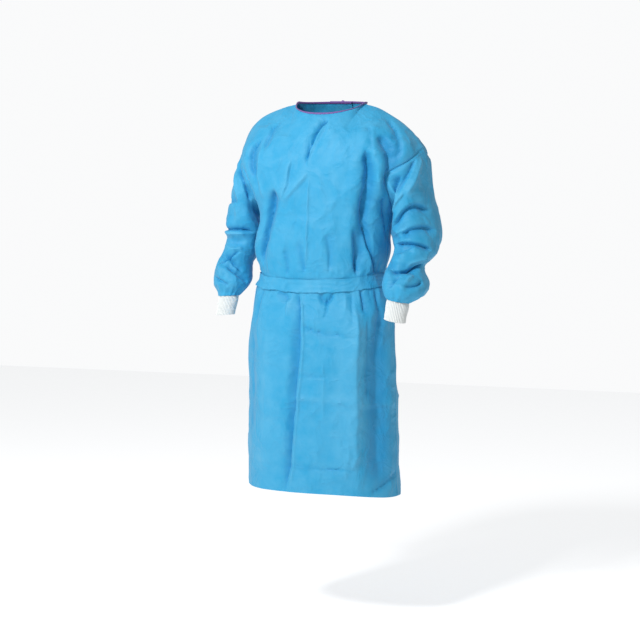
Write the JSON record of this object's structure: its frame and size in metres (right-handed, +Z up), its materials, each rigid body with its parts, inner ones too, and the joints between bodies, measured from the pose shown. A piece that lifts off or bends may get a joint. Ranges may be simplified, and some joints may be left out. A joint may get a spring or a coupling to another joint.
{
  "type": "isolation gown",
  "caption": "Worn isolation gown of thin blue nonwoven cloth, open and hollow: round bound neck, long gathered sleeves with knitted cuffs, wrapped back and tied belt.",
  "frame": {"origin": "middle of the neck opening, level with the neck ends of the shoulder seams, where the wearer holds the gown up", "axes": "+Z up, -Y to the wearer's front, +X to the wearer's left"},
  "size_m": [0.6969, 0.3473, 1.189],
  "materials": {
    "gown_cloth": "thin spunbond nonwoven with a soft matt sheen",
    "neck_binding": "violet nonwoven tape",
    "knit_cuff": "white rib knit"
  },
  "bodies": {
    "root": {"front_panel": "gown_cloth", "back_left": "gown_cloth", "back_right": "gown_cloth", "sleeve_left": "gown_cloth", "sleeve_right": "gown_cloth", "cuff_left": "knit_cuff", "cuff_right": "knit_cuff", "neck_binding": "neck_binding", "belt": "gown_cloth", "belt_knot": "gown_cloth", "belt_tail_left": "gown_cloth", "belt_tail_right": "gown_cloth", "neck_knot": "neck_binding", "neck_tail_left": "neck_binding", "neck_tail_right": "neck_binding"}
  },
  "joints": []
}
